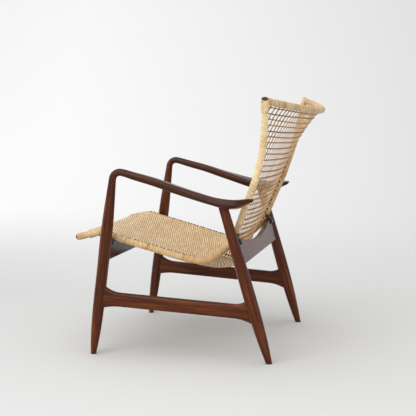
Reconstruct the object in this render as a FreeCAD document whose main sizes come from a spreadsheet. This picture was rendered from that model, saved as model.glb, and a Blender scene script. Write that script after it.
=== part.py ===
import FreeCAD, Part

import math
import os

import Sketcher
from FreeCAD import Placement, Rotation, Vector

# Low open armchair: a turned hardwood frame that carries a one-piece cane shell.
# The shell is woven over bent rattan poles and hangs on the front and rear rails.
# Millimetres. +X is the sitter's left, -Y is the front, +Z is up, Z = 0 is the floor.
# The origin lies on the floor under the middle of the chair.

doc = FreeCAD.newDocument("LoungeChair")
sheet = doc.addObject("Spreadsheet::Sheet", "Sizes")

SIZES = {
    # Front legs: the foot, and the corner point where leg and arm centre lines meet
    "front_foot_half": 305.6,
    "front_foot_ahead": 308.8,
    "corner_half": 312.0,
    "corner_ahead": 232.6,
    "corner_height": 585.4,
    "corner_bend_radius": 25.0,
    "front_foot_radius": 8.6,
    "front_knee_radius": 17.8,
    "front_swell_radius": 18.6,
    "front_neck_radius": 14.9,
    "corner_radius": 11.3,
    # Rear legs: turned, tenoned into the armrest from below
    "foot_overrun": 8.0,
    "rear_foot_half": 287.4,
    "rear_foot_behind": 254.3,
    "rear_foot_radius": 9.4,
    "rear_ankle_radius": 14.8,
    "rear_knee_radius": 17.8,
    "rear_swell_radius": 19.1,
    "rear_head_radius": 14.4,
    "rear_head_along": 353.0,
    "rear_head_inset": 16.0,
    "rear_head_sink": 4.5,
    "rear_tenon_radius": 10.0,
    "rear_tenon_rise": 3.0,
    # Armrests: the centre line runs back and down from the corner point
    "arm_pitch_degrees": 14.3,
    "arm_toe_out_degrees": 1.4,
    "arm_length": 449.0,
    "arm_paddle_width": 64.0,
    "arm_paddle_height": 28.4,
    "arm_tip_rise": 30.4,
    "arm_tilt_degrees": 10.0,
    # Side stretchers: straight boards that flare into the legs
    "stretcher_front_height": 181.8,
    "stretcher_rear_height": 156.0,
    "stretcher_depth": 44.5,
    "stretcher_thickness": 21.0,
    "stretcher_edge_radius": 8.5,
    "front_top_flare_radius": 88.0,
    "front_bottom_flare_radius": 190.0,
    "rear_top_flare_radius": 60.0,
    "rear_bottom_flare_radius": 140.0,
    "front_flare_start": 69.0,
    "rear_flare_start": 64.0,
    "front_top_flare_stop": 15.0,
    "front_bottom_flare_stop": 6.0,
    "rear_top_flare_stop": 25.0,
    "rear_bottom_flare_stop": 4.0,
    "flare_easing_radius": 13.0,
    # Front and rear rails: each hangs below the side poles that rest on it
    "rail_thickness": 19.0,
    "rail_edge_radius": 2.0,
    "front_rail_depth": 40.4,
    "front_pole_lift": 9.55,
    "front_crest_radius": 1500.0,
    "rear_rail_depth": 47.3,
    "rear_pole_lift": 12.35,
    "rear_crest_radius": 900.0,
    "crest_half": 255.0,
    # Mortises and tenons
    "tenon_thickness": 10.0,
    "tenon_past_axis": 5.0,
    "tenon_end_gap": 0.5,
    "stretcher_tenon_height": 34.0,
    "rail_tenon_height": 38.0,
    "mortise_reach": 26.0,
    "dowel_radius": 3.5,
    "dowel_half_length": 13.0,
    # Cane shell: the side poles' centre lines, and the poles' own sizes
    "shell_front_ahead": 373.0,
    "shell_depth": 628.0,
    "shell_height": 804.0,
    "shell_seat_half": 250.0,
    "shell_top_half": 390.0,
    "pole_radius": 9.6,
    "wrap_radius": 11.0,
    "wrap_setback": 1.5,
    "cross_pole_radius": 9.4,
    "cross_wrap_radius": 10.8,
    "binding_radius": 12.2,
    "top_rail_along": 7.0,
    "top_rail_bow": 108.0,
    "top_rail_sink": 31.0,
    "front_bar_along": 38.0,
    "front_bar_bow": 3.0,
    "front_bar_sink": 5.0,
    "cane_thickness": 3.0,
    "cane_under_wrap": 6.0,
    "cane_edge_rise": 7.0,
    "shell_sag": 68.0,
    # Openings of the back's mesh, gathered into a plain grid
    "window_columns": 12.0,
    "window_rows": 9.0,
    "window_reach": 14.0,
    # Black clips that tie the side poles down to the rails
    "clip_thickness": 2.0,
    "clip_width": 12.0,
    "clip_ear_half": 8.0,
    "clip_drop": 9.0,
    "bolt_head_radius": 8.5,
    "bolt_head_height": 4.5,
    "bolt_head_round": 2.0,
    "bolt_shank_radius": 3.0,
    "bolt_clearance": 0.2,
    "bolt_length": 15.0,
    "front_bolt_outside": 27.0,
    "front_bolt_fall": 6.3,
    "rear_bolt_outside": 13.0,
    "rear_bolt_fall": 15.4,
}

for row, (alias, value) in enumerate(SIZES.items(), start=1):
    sheet.set(f"A{row}", alias)
    sheet.set(f"B{row}", str(value))
    sheet.setAlias(f"B{row}", alias)
doc.recompute()


def size(alias):
    """The number behind one named size of the sheet."""
    return float(sheet.get(alias))


# Legs: share of the length up the leg, and the radius there
FRONT_LEG_SHARES = (
    (0.0, "front_foot_radius"),
    (0.262, "front_knee_radius"),
    (0.50, "front_knee_radius"),
    (0.70, "front_swell_radius"),
    (0.875, "front_neck_radius"),
    (1.0, "corner_radius"),
)
REAR_LEG_SHARES = (
    (0.0, "rear_foot_radius"),
    (0.122, "rear_ankle_radius"),
    (0.235, "rear_knee_radius"),
    (0.49, "rear_swell_radius"),
    (1.0, "rear_head_radius"),
)
# Armrest, from the corner to the tip: share of the length, of the widening to the paddle,
# of the deepening to the paddle, of the tip's rise, of the tilt, and the edges' roundness
# as a share of half the depth
ARM_SHARES = (
    (0.0, 0.0, 0.0, 0.0, 0.0, 0.94),
    (0.0817, 0.052, 0.17, 0.0, 0.0, 0.86),
    (0.1634, 0.118, 0.31, 0.0, 0.0, 0.80),
    (0.2451, 0.195, 0.34, 0.0, 0.0, 0.77),
    (0.3268, 0.288, 0.32, -0.044, 0.11, 0.75),
    (0.4085, 0.394, 0.29, -0.110, 0.28, 0.745),
    (0.4902, 0.504, 0.28, -0.157, 0.45, 0.743),
    (0.5719, 0.622, 0.31, -0.196, 0.65, 0.738),
    (0.6536, 0.744, 0.37, -0.223, 0.84, 0.727),
    (0.7353, 0.879, 0.58, -0.215, 0.95, 0.693),
    (0.8170, 0.988, 1.0, -0.132, 1.0, 0.634),
    (0.8645, 0.935, 0.83, 0.016, 1.0, 0.644),
    (0.9049, 0.827, 0.49, 0.226, 1.0, 0.667),
    (0.9406, 0.546, -0.40, 0.518, 1.0, 0.69),
    (0.9715, 0.219, -1.49, 0.779, 1.0, 0.724),
    (1.0, -0.135, -2.78, 1.0, 1.0, 0.80),
)
# Side pole, from the front horn to the top of the back: shares of the flare from the
# seat's half width to the top's, of the shell's depth and of its height
POLE_SHARES = (
    (0.09, 0.0, 0.4552),
    (0.09, 0.1178, 0.4772),
    (0.08, 0.1927, 0.4598),
    (0.05, 0.4188, 0.4146),
    (0.02, 0.5748, 0.3820),
    (0.0, 0.6720, 0.3756),
    (0.0, 0.7341, 0.4104),
    (0.0, 0.7818, 0.4403),
    (0.02, 0.8248, 0.5012),
    (0.143, 0.8678, 0.5877),
    (0.20, 0.9124, 0.6729),
    (0.264, 0.9459, 0.7525),
    (0.43, 0.9705, 0.8271),
    (0.714, 0.9889, 0.9192),
    (1.0, 1.0, 1.0),
)
ARC_RUN_SHARE = 0.45
# Cane: place as a share of the pole's length, sag as a share of the seat's deepest sag, and
# how far the middle slides down the pole's own direction as a share of the top rail's sink
SEAT_SAG_SHARES = (
    (0.030, 0.06, 0.0),
    (0.060, 0.09, 0.0),
    (0.092, 0.15, 0.0),
    (0.125, 0.26, 0.0),
    (0.20, 0.46, 0.0),
    (0.27, 0.60, 0.0),
    (0.34, 0.71, 0.0),
    (0.385, 0.78, 0.0),
    (0.425, 0.87, 0.0),
    (0.447, 1.0, 0.0),
)
BACK_SAG_SHARES = (
    (0.447, 1.0, 0.0),
    (0.463, 0.86, 0.0),
    (0.478, 0.60, 0.0),
    (0.495, 0.34, 0.0),
    (0.515, 0.22, 0.0),
    (0.545, 0.19, 0.0),
    (0.575, 0.18, 0.0),
    (0.61, 0.19, 0.0),
    (0.65, 0.20, 0.0),
    (0.70, 0.23, 0.0),
    (0.76, 0.32, 0.0),
    (0.82, 0.50, 0.05),
    (0.86, 0.68, 0.12),
    (0.90, 0.90, 0.25),
    (0.935, 1.13, 0.38),
    (0.965, 1.36, 0.50),
)
# Windows of the back: first and last place as shares of the pole's length, the share of
# each step that is open across and along, and the plain border at each side pole
WINDOW_SHARES = (0.530, 0.962, 0.72, 0.72, 0.035)
# Bindings of flat cane round each side pole: start and end as shares of its length
BINDING_SHARES = (
    (0.008, 0.025),
    (0.700, 0.722),
    (0.845, 0.867),
    (0.955, 0.9975),
)

X_AXIS = Vector(1, 0, 0)
Y_AXIS = Vector(0, 1, 0)
Z_AXIS = Vector(0, 0, 1)


def unit(vector):
    return Vector(vector).normalize()


def frame_at(base, x_axis, y_axis, z_axis):
    """Placement with its origin at base and the given right-handed axes."""
    return Placement(base, Rotation(x_axis, y_axis, z_axis, "ZXY"))


def bind(target, path, alias):
    target.setExpression(path, "Sizes." + alias)


def show_shape(name, shape):
    feature = doc.addObject("Part::Feature", name)
    feature.Shape = shape
    return feature


# Layout lines of the left half
front_foot = Vector(size("front_foot_half"), -size("front_foot_ahead"), 0)
corner = Vector(size("corner_half"), -size("corner_ahead"), size("corner_height"))
front_axis = unit(corner - front_foot)
arm_pitch = math.radians(size("arm_pitch_degrees"))
arm_toe_out = math.radians(size("arm_toe_out_degrees"))
arm_axis = Vector(
    math.cos(arm_pitch) * math.sin(arm_toe_out),
    math.cos(arm_pitch) * math.cos(arm_toe_out),
    -math.sin(arm_pitch),
)
side_axis = unit(arm_axis.cross(front_axis))
bend_turn = front_axis.getAngle(arm_axis)
bend_reach = size("corner_bend_radius") * math.tan(bend_turn / 2)
front_leg_length = (corner - front_foot).Length - bend_reach
front_leg_frame = frame_at(front_foot, side_axis, front_axis.cross(side_axis), front_axis)
arm_frame = frame_at(corner, side_axis, arm_axis, side_axis.cross(arm_axis))

rear_foot = Vector(size("rear_foot_half"), size("rear_foot_behind"), 0)
rear_head = arm_frame.multVec(
    Vector(-size("rear_head_inset"), size("rear_head_along"), -size("rear_head_sink"))
)
rear_axis = unit(rear_head - rear_foot)
rear_length = (rear_head - rear_foot).Length
rear_leg_frame = frame_at(rear_foot, unit(Y_AXIS.cross(rear_axis)), Y_AXIS, rear_axis)


def origin_plane(body, role):
    for feature in body.Origin.OriginFeatures:
        if feature.Role == role:
            return feature


def new_body(name, frame):
    body = doc.addObject("PartDesign::Body", name)
    body.Placement = frame
    return body


def new_sketch(body, name, role, offset):
    sketch = body.newObject("Sketcher::SketchObject", name)
    sketch.AttachmentSupport = (origin_plane(body, role), "")
    sketch.MapMode = "FlatFace"
    sketch.AttachmentOffset = offset
    return sketch


def circle_section(body, name, role, offset, alias, lift=0.0):
    """Circle of a named radius, its centre lift above the sketch's own origin."""
    sketch = new_sketch(body, name, role, offset)
    circle = sketch.addGeometry(Part.Circle(Vector(0, lift, 0), Z_AXIS, size(alias)))
    radius = sketch.addConstraint(Sketcher.Constraint("Radius", circle, size(alias)))
    bind(sketch, f"Constraints[{radius}]", alias)
    if lift:
        sketch.addConstraint(Sketcher.Constraint("PointOnObject", circle, 3, -2))
        rise = sketch.addConstraint(Sketcher.Constraint("DistanceY", -1, 1, circle, 3, lift))
        sign = "-" if lift < 0 else ""
        sketch.setExpression(f"Constraints[{rise}]", f"{sign}Sizes.corner_bend_radius")
    else:
        sketch.addConstraint(Sketcher.Constraint("Coincident", circle, 3, -1, 1))
    return sketch


def loft_through(body, name, sections):
    loft = body.newObject("PartDesign::AdditiveLoft", name)
    loft.Profile = sections[0]
    loft.Sections = [(section, [""]) for section in sections[1:]]
    return loft


def half_bend(body, name, sketch, reversed_turn):
    """Half of the corner's bend, swept about the sketch's horizontal axis."""
    bend = body.newObject("PartDesign::Revolution", name)
    bend.Profile = sketch
    bend.ReferenceAxis = (sketch, ["H_Axis"])
    bend.Angle = math.degrees(bend_turn / 2)
    bend.Reversed = reversed_turn
    return bend


def turned_leg(name, frame, length, shares):
    """Leg turned about its axis: a curve through its radii, run on a little below the floor."""
    body = new_body(name, frame)
    sketch = new_sketch(body, name + "_profile", "XZ_Plane", Placement())
    below = Vector(size(shares[0][1]), -size("foot_overrun"), 0)
    points = [Vector(size(alias), share * length, 0) for share, alias in shares]
    curve = Part.BSplineCurve()
    curve.interpolate(points)
    foot = Vector(0, below.y, 0)
    head = Vector(0, length, 0)
    outline = [
        Part.LineSegment(foot, below),
        Part.LineSegment(below, points[0]),
        curve,
        Part.LineSegment(points[-1], head),
        Part.LineSegment(head, foot),
    ]
    for edge in outline:
        sketch.addConstraint(Sketcher.Constraint("Block", sketch.addGeometry(edge)))
    turning = body.newObject("PartDesign::Revolution", name + "_turning")
    turning.Profile = sketch
    turning.ReferenceAxis = (sketch, ["V_Axis"])
    return body


def rounded_section(body, name, offset, width, height, radius):
    """Rounded rectangle about the sketch's origin."""
    sketch = new_sketch(body, name, "XZ_Plane", offset)
    across = width / 2 - radius
    up = height / 2 - radius
    centres = ((across, -up), (across, up), (-across, up), (-across, -up))
    quarter = math.pi / 2
    arcs = []
    lines = []
    for index, (x, y) in enumerate(centres):
        start = (index - 1) * quarter
        circle = Part.Circle(Vector(x, y, 0), Z_AXIS, radius)
        arc = Part.ArcOfCircle(circle, start, start + quarter)
        following = centres[(index + 1) % len(centres)]
        out = Vector(math.cos(start + quarter), math.sin(start + quarter), 0) * radius
        line = Part.LineSegment(Vector(x, y, 0) + out, Vector(*following, 0) + out)
        arcs.append(sketch.addGeometry(arc))
        lines.append(sketch.addGeometry(line))
    for index, line in enumerate(lines):
        following = arcs[(index + 1) % len(arcs)]
        sketch.addConstraint(Sketcher.Constraint("Tangent", arcs[index], 2, line, 1))
        sketch.addConstraint(Sketcher.Constraint("Tangent", line, 2, following, 1))
        sketch.addConstraint(Sketcher.Constraint("Horizontal" if index % 2 else "Vertical", line))
    for arc in arcs[1:]:
        sketch.addConstraint(Sketcher.Constraint("Equal", arcs[0], arc))
    sketch.addConstraint(Sketcher.Constraint("Radius", arcs[0], radius))
    sketch.addConstraint(Sketcher.Constraint("DistanceX", arcs[3], 1, arcs[0], 2, width))
    sketch.addConstraint(Sketcher.Constraint("DistanceY", arcs[0], 1, arcs[1], 2, height))
    sketch.addConstraint(Sketcher.Constraint("Symmetric", arcs[0], 3, arcs[2], 3, -1, 1))
    return sketch


def outline_sketch(body, name, role, edges):
    """Closed outline of lines and arcs, held where its sizes put it."""
    sketch = new_sketch(body, name, role, Placement())
    numbers = [sketch.addGeometry(edge) for edge in edges]
    for here, following in zip(numbers, numbers[1:] + numbers[:1]):
        ends = [(first, second) for first in (1, 2) for second in (1, 2)]

        def apart(pair_of_ends):
            first, second = pair_of_ends
            return (sketch.getPoint(here, first) - sketch.getPoint(following, second)).Length

        first, second = min(ends, key=apart)
        sketch.addConstraint(Sketcher.Constraint("Coincident", here, first, following, second))
    for number in numbers:
        sketch.addConstraint(Sketcher.Constraint("Block", number))
    return sketch


def board(body, name, sketch, thickness, edge_radius, thick_axis, end_axis):
    """Pads an outline both ways and rounds its long edges, but not its ends."""
    pad = body.newObject("PartDesign::Pad", name + "_pad")
    pad.Profile = sketch
    pad.Midplane = True
    bind(pad, "Length", thickness)
    doc.recompute()
    half = size(thickness) / 2
    box = pad.Shape.BoundBox
    ends = {"X": (box.XMin, box.XMax), "Y": (box.YMin, box.YMax)}[end_axis]
    chosen = []
    for index, edge in enumerate(pad.Shape.Edges, start=1):
        centre = edge.CenterOfMass
        on_face = abs(abs(getattr(centre, thick_axis)) - half) < 1e-3
        along = getattr(centre, end_axis.lower())
        at_end = min(abs(along - end) for end in ends) < 1e-3
        if on_face and not at_end:
            chosen.append(f"Edge{index}")
    fillet = body.newObject("PartDesign::Fillet", name + "_edges")
    fillet.Base = (pad, chosen)
    bind(fillet, "Radius", edge_radius)
    return fillet


def cut(name, base, tool):
    feature = doc.addObject("Part::Cut", name)
    feature.Base = base
    feature.Tool = tool
    return feature


def fuse(name, shapes):
    feature = doc.addObject("Part::MultiFuse", name)
    feature.Shapes = shapes
    return feature


def box_between(name, frame, low, high):
    """Box with two opposite corners given in a frame of its own."""
    feature = doc.addObject("Part::Box", name)
    feature.Length = high.x - low.x
    feature.Width = high.y - low.y
    feature.Height = high.z - low.z
    feature.Placement = frame.multiply(Placement(low, Rotation()))
    return feature


def cylinder_along(name, start, direction, length, radius):
    feature = doc.addObject("Part::Cylinder", name)
    feature.Radius = radius
    feature.Height = length
    feature.Placement = Placement(start, Rotation(Z_AXIS, direction))
    return feature


def mirror_right(source, name):
    feature = doc.addObject("Part::Mirroring", name)
    feature.Source = source
    feature.Normal = X_AXIS
    return feature


parts = []


def keep(feature, label):
    feature.Label = label
    parts.append(feature)
    return feature


# Poles: straight runs joined by tangent arcs
def rounded_path(points):
    """Edges through a run of points, every inner point rounded by a tangent arc."""
    edges = []
    start = points[0]
    for before, here, after in zip(points, points[1:], points[2:]):
        back = unit(before - here)
        ahead = unit(after - here)
        reach = ARC_RUN_SHARE * min((before - here).Length, (after - here).Length)
        first = here + back * reach
        last = here + ahead * reach
        half_turn = (math.pi - back.getAngle(ahead)) / 2
        radius = reach / math.tan(half_turn)
        bisector = unit(back + ahead)
        middle = here + bisector * (radius / math.cos(half_turn) - radius)
        edges.append(Part.LineSegment(start, first).toShape())
        edges.append(Part.Arc(first, middle, last).toShape())
        start = last
    edges.append(Part.LineSegment(start, points[-1]).toShape())
    return edges


def stretch(edges, start, end):
    """The piece of a path between two distances along it."""
    piece = []
    passed = 0.0
    for edge in edges:
        low = max(start - passed, 0.0)
        high = min(end - passed, edge.Length)
        if high > low:
            first, last = edge.ParameterRange
            per_length = (last - first) / edge.Length
            piece.append(edge.Curve.toShape(first + low * per_length, first + high * per_length))
        passed += edge.Length
    return piece


def path_length(edges):
    return sum(edge.Length for edge in edges)


def path_place(edges, distance):
    """Point and direction at a distance along a path."""
    for edge in edges:
        if distance <= edge.Length or edge is edges[-1]:
            first, last = edge.ParameterRange
            parameter = first + (last - first) * min(distance / edge.Length, 1.0)
            return edge.valueAt(parameter), unit(edge.tangentAt(parameter))
        distance -= edge.Length


def tube(edges, radius):
    """Round bar of one radius along a path."""
    start, direction = path_place(edges, 0.0)
    ring = Part.Wire([Part.Circle(start, direction, radius).toShape()])
    return Part.Wire(edges).makePipeShell([ring], True, False)


def pole_points():
    flare_out = size("shell_top_half") - size("shell_seat_half")
    points = []
    for across, back, up in POLE_SHARES:
        x = size("shell_seat_half") + across * flare_out
        y = back * size("shell_depth") - size("shell_front_ahead")
        points.append(Vector(x, y, up * size("shell_height")))
    return points


pole_path = rounded_path(pole_points())
pole_length = path_length(pole_path)
wrap_path = stretch(pole_path, size("wrap_setback"), pole_length - size("wrap_setback"))


def crossing(frame):
    """Distance along the side pole at which it passes through a rail's middle plane."""
    normal = frame.Rotation.multVec(Y_AXIS)
    low, high = 0.0, pole_length
    for _ in range(40):
        middle = (low + high) / 2
        point, _direction = path_place(pole_path, middle)
        if (point - frame.Base).dot(normal) < 0:
            low = middle
        else:
            high = middle
    return low


# Mortise and tenon frames: each board's own frame, and where it meets the leg axes
def axis_point(foot, axis, height):
    return foot + axis * (height / axis.z)


stretcher_start = axis_point(front_foot, front_axis, size("stretcher_front_height"))
stretcher_end = axis_point(rear_foot, rear_axis, size("stretcher_rear_height"))
stretcher_axis = unit(stretcher_end - stretcher_start)
stretcher_side = unit(stretcher_axis.cross(Z_AXIS))
stretcher_length = (stretcher_end - stretcher_start).Length
stretcher_frame = frame_at(
    stretcher_start, stretcher_side, stretcher_axis, stretcher_side.cross(stretcher_axis)
)


def rail_frame(foot, axis):
    """Frame in the sloping plane that holds both legs' centre lines, X across the chair."""
    up = unit(Vector(0, axis.y, axis.z))
    return frame_at(Vector(0, foot.y, 0), X_AXIS, up.cross(X_AXIS), up)


def rail_end(foot, axis, up):
    """Half width between the leg centre lines at a height measured up the lean."""
    run = Vector(0, axis.y, axis.z).Length
    return foot.x + axis.x / run * up


front_rail_frame = rail_frame(front_foot, front_axis)
rear_rail_frame = rail_frame(rear_foot, rear_axis)


def ledge_height(kind):
    """Height up the lean of a rail's flat ledge, a set drop below the side pole."""
    frame = {"front": front_rail_frame, "rear": rear_rail_frame}[kind]
    point, _direction = path_place(pole_path, crossing(frame))
    up = (point - frame.Base).dot(frame.Rotation.multVec(Z_AXIS))
    return up - size(f"{kind}_pole_lift")


def crest_height(kind):
    """Height of the bottom of a rail's hollow crest."""
    arc_radius = size(f"{kind}_crest_radius")
    fall = arc_radius - math.sqrt(arc_radius**2 - size("crest_half") ** 2)
    return ledge_height(kind) - fall


def rail_bottom(kind):
    return crest_height(kind) - size(f"{kind}_rail_depth")


def rail_mortise(name, frame, foot, axis, kind):
    middle = (rail_bottom(kind) + ledge_height(kind)) / 2
    end = rail_end(foot, axis, middle)
    half = Vector(0, size("tenon_thickness") / 2, size("rail_tenon_height") / 2)
    low = Vector(end - size("mortise_reach"), 0, middle) - half
    high = Vector(end + size("tenon_past_axis"), 0, middle) + half
    return box_between(name, frame, low, high)


def stretcher_mortise(name, at_front):
    half = Vector(size("tenon_thickness") / 2, 0, size("stretcher_tenon_height") / 2)
    past = size("tenon_past_axis")
    reach = size("mortise_reach")
    if at_front:
        low, high = -past, reach
    else:
        low, high = stretcher_length - reach, stretcher_length + past
    return box_between(name, stretcher_frame, Vector(0, low, 0) - half, Vector(0, high, 0) + half)


# Front leg with its half of the rounded corner
front_leg = turned_leg("front_leg_turned", front_leg_frame, front_leg_length, FRONT_LEG_SHARES)
bend_offset = Placement(Vector(0, size("corner_bend_radius"), front_leg_length), Rotation())
bend_circle = circle_section(
    front_leg, "front_leg_neck", "XY_Plane", bend_offset, "corner_radius", -size("corner_bend_radius")
)
half_bend(front_leg, "front_leg_bend", bend_circle, True)

# Dowel across the corner's mitre
bend_centre = front_leg_frame.multVec(Vector(0, size("corner_bend_radius"), front_leg_length))
mitre_point = bend_centre + unit(corner - bend_centre) * size("corner_bend_radius")
mitre_axis = unit(front_axis + arm_axis)
dowel_start = mitre_point - mitre_axis * size("dowel_half_length")
dowel = cylinder_along(
    "corner_dowel", dowel_start, mitre_axis, 2 * size("dowel_half_length"), size("dowel_radius")
)

# Armrest: half bend, slim front, broad tilted paddle and a pointed tail
armrest = new_body("armrest_shaped", arm_frame)
arm_sections = []


def between(first, second, share):
    return first + (second - first) * share


corner_width = 2 * size("corner_radius")
front_circle = circle_section(
    armrest,
    "armrest_neck",
    "XZ_Plane",
    Placement(Vector(0, -size("corner_bend_radius"), -bend_reach), Rotation()),
    "corner_radius",
    size("corner_bend_radius"),
)
half_bend(armrest, "armrest_bend", front_circle, False)
for along, widening, deepening, rise, tilt, roundness in ARM_SHARES:
    width = between(corner_width, size("arm_paddle_width"), widening)
    height = between(corner_width, size("arm_paddle_height"), deepening)
    place = Vector(0, rise * size("arm_tip_rise"), -between(bend_reach, size("arm_length"), along))
    offset = Placement(place, Rotation(Z_AXIS, tilt * size("arm_tilt_degrees")))
    section_name = f"arm_section_{len(arm_sections)}"
    radius = roundness * min(width, height) / 2
    arm_sections.append(rounded_section(armrest, section_name, offset, width, height, radius))
loft_through(armrest, "armrest_loft", arm_sections)
rear_tenon_start = rear_head - rear_axis * (2 * size("arm_paddle_height"))
rear_tenon_hole = cylinder_along(
    "rear_tenon_hole",
    rear_tenon_start,
    rear_axis,
    2 * size("arm_paddle_height") + size("rear_tenon_rise"),
    size("rear_tenon_radius"),
)
armrest_left = keep(
    cut("armrest_drilled", armrest, fuse("armrest_holes", [rear_tenon_hole, dowel])), "armrest_left"
)

# Rear leg: its top is shouldered to the armrest's underside round the tenon
rear_leg_length = rear_length + size("rear_tenon_rise") - size("tenon_end_gap")
rear_leg = turned_leg("rear_leg_turned", rear_leg_frame, rear_leg_length, REAR_LEG_SHARES)

floor_reach = Vector(size("corner_half") * 2, size("shell_depth"), 0)
floor_block = box_between(
    "floor_block", Placement(), -floor_reach - Z_AXIS * (2 * size("foot_overrun")), floor_reach
)
front_leg_sockets = fuse(
    "front_leg_sockets",
    [
        dowel,
        floor_block,
        rail_mortise("front_rail_mortise", front_rail_frame, front_foot, front_axis, "front"),
        stretcher_mortise("stretcher_front_mortise", True),
    ],
)
front_leg_left = keep(cut("front_leg_cut", front_leg, front_leg_sockets), "front_leg_left")
rear_leg_sockets = fuse(
    "rear_leg_sockets",
    [
        floor_block,
        rail_mortise("rear_rail_mortise", rear_rail_frame, rear_foot, rear_axis, "rear"),
        stretcher_mortise("stretcher_rear_mortise", False),
    ],
)
rear_leg_cut = cut("rear_leg_cut", rear_leg, rear_leg_sockets)
rear_leg_left = keep(cut("rear_leg_shouldered", rear_leg_cut, armrest_left), "rear_leg_left")

# Side stretcher
stretcher = new_body("stretcher_board", stretcher_frame)


def flare_points(height, at_front, side):
    """Points of a flare: a hollow arc, a small round and a straight end in the mortise."""
    end = "front" if at_front else "rear"
    edge = "top" if side > 0 else "bottom"
    radius = size(f"{end}_{edge}_flare_radius")
    easing = size("flare_easing_radius")
    start = size(f"{end}_flare_start")
    stop = size(f"{end}_{edge}_flare_stop")
    turn = math.asin((start - stop) / radius)

    def spot(distance, rise):
        along = distance if at_front else stretcher_length - distance
        return Vector(along, height + side * rise, 0)

    def on_hollow(angle):
        return spot(start - radius * math.sin(angle), radius * (1 - math.cos(angle)))

    rise = radius * (1 - math.cos(turn)) + easing * (1 - math.cos(turn))
    crown = stop - easing * math.sin(turn)

    def on_round(angle):
        return spot(crown + easing * math.sin(angle), rise - easing * (1 - math.cos(angle)))

    tenon_end = size("tenon_end_gap") - size("tenon_past_axis")
    hollow = [on_hollow(0), on_hollow(turn / 2), on_hollow(turn)]
    return hollow + [on_round(turn / 2), on_round(0), spot(tenon_end, rise)]


def flare_edges(points):
    return [Part.Arc(*points[0:3]), Part.Arc(*points[2:5]), Part.LineSegment(*points[4:6])]


def flare_edges_back(points):
    back = points[::-1]
    return [Part.LineSegment(*back[0:2]), Part.Arc(*back[1:4]), Part.Arc(*back[3:6])]


def stretcher_outline():
    half = size("stretcher_depth") / 2
    low_front = flare_points(-half, True, -1)
    low_rear = flare_points(-half, False, -1)
    top_rear = flare_points(half, False, 1)
    top_front = flare_points(half, True, 1)
    return [
        *flare_edges_back(low_front),
        Part.LineSegment(low_front[0], low_rear[0]),
        *flare_edges(low_rear),
        Part.LineSegment(low_rear[-1], top_rear[-1]),
        *flare_edges_back(top_rear),
        Part.LineSegment(top_rear[0], top_front[0]),
        *flare_edges(top_front),
        Part.LineSegment(top_front[-1], low_front[-1]),
    ]


stretcher_profile = outline_sketch(stretcher, "stretcher_profile", "YZ_Plane", stretcher_outline())
board(
    stretcher, "stretcher", stretcher_profile, "stretcher_thickness", "stretcher_edge_radius", "x", "Y"
)
stretcher_front_fit = cut("stretcher_front_fit", stretcher, front_leg_left)
side_stretcher_left = keep(
    cut("stretcher_rear_fit", stretcher_front_fit, rear_leg_left), "side_stretcher_left"
)


# Side poles: the bar, its wrap and its bindings
pole_core = show_shape("side_pole_bar", tube(pole_path, size("pole_radius")))
wrap_bar = show_shape("side_wrap_bar", tube(wrap_path, size("wrap_radius")))
side_pole_left = keep(pole_core, "side_pole_left")
side_wrap_left = keep(cut("side_wrap_sleeve", wrap_bar, pole_core), "side_pole_wrap_left")


def binding_bar(index, start_share, end_share):
    piece = stretch(pole_path, start_share * pole_length, end_share * pole_length)
    return show_shape(f"binding_bar_{index}", tube(piece, size("binding_radius")))


wrap_core = fuse("wrapped_pole", [wrap_bar, pole_core])
binding_bars = [binding_bar(index, *shares) for index, shares in enumerate(BINDING_SHARES)]


# Cross poles: one bowed back between the tops of the side poles, one bowed forward under
# the seat's front edge, behind the free ends of the poles
def mirrored(vector):
    return Vector(-vector.x, vector.y, vector.z)


def bar_arc(along, bow, sink):
    """End and middle of a cross pole's centre line."""
    end, _direction = path_place(pole_path, along)
    return end, Vector(0, end.y + bow, end.z - sink)


pole_top, pole_top_direction = path_place(pole_path, pole_length)
pole_top_reach = cylinder_along(
    "pole_top_reach",
    pole_top - pole_top_direction * size("cross_wrap_radius"),
    pole_top_direction,
    3 * size("cross_wrap_radius"),
    size("wrap_radius"),
)
coping_pole = fuse("coping_pole", [wrap_bar, pole_core, pole_top_reach])


def bowed_bar(name, end, middle):
    """Bowed bar and its wrap, both coped to the side poles at their ends."""
    bar_path = [Part.Arc(end, middle, mirrored(end)).toShape()]
    core = show_shape(name + "_bar", tube(bar_path, size("cross_pole_radius")))
    sleeve = show_shape(name + "_sleeve", tube(bar_path, size("cross_wrap_radius")))
    sides = fuse(name + "_sides", [coping_pole, mirror_right(coping_pole, name + "_far_side")])
    keep(cut(name + "_coped", core, sides), name + "_pole")
    keep(cut(name + "_wrap_coped", cut(name + "_hollow", sleeve, core), sides), name + "_wrap")
    return sleeve


top_rail_along = pole_length - size("top_rail_along")
top_rail_end, top_rail_middle = bar_arc(top_rail_along, size("top_rail_bow"), size("top_rail_sink"))
top_rail_solid = bowed_bar("top_rail", top_rail_end, top_rail_middle)
front_bar_end, front_bar_middle = bar_arc(
    size("front_bar_along"), -size("front_bar_bow"), size("front_bar_sink")
)
front_bar_solid = bowed_bar("front_bar", front_bar_end, front_bar_middle)


# Woven panels: thin shells through sagging arcs between the side poles, which they meet
# on the sitter's side
def away_from_sitter(direction):
    return unit(Vector(0, direction.z, -direction.y))


def cane_middle(distance, sag, slide):
    point, direction = path_place(pole_path, distance)
    along = unit(Vector(0, direction.y, direction.z))
    return Vector(0, point.y, point.z) + away_from_sitter(direction) * sag - along * slide


def cane_edge(distance):
    point, direction = path_place(pole_path, distance)
    inward = X_AXIS * size("cane_under_wrap")
    return point - inward - away_from_sitter(direction) * size("cane_edge_rise")


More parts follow.
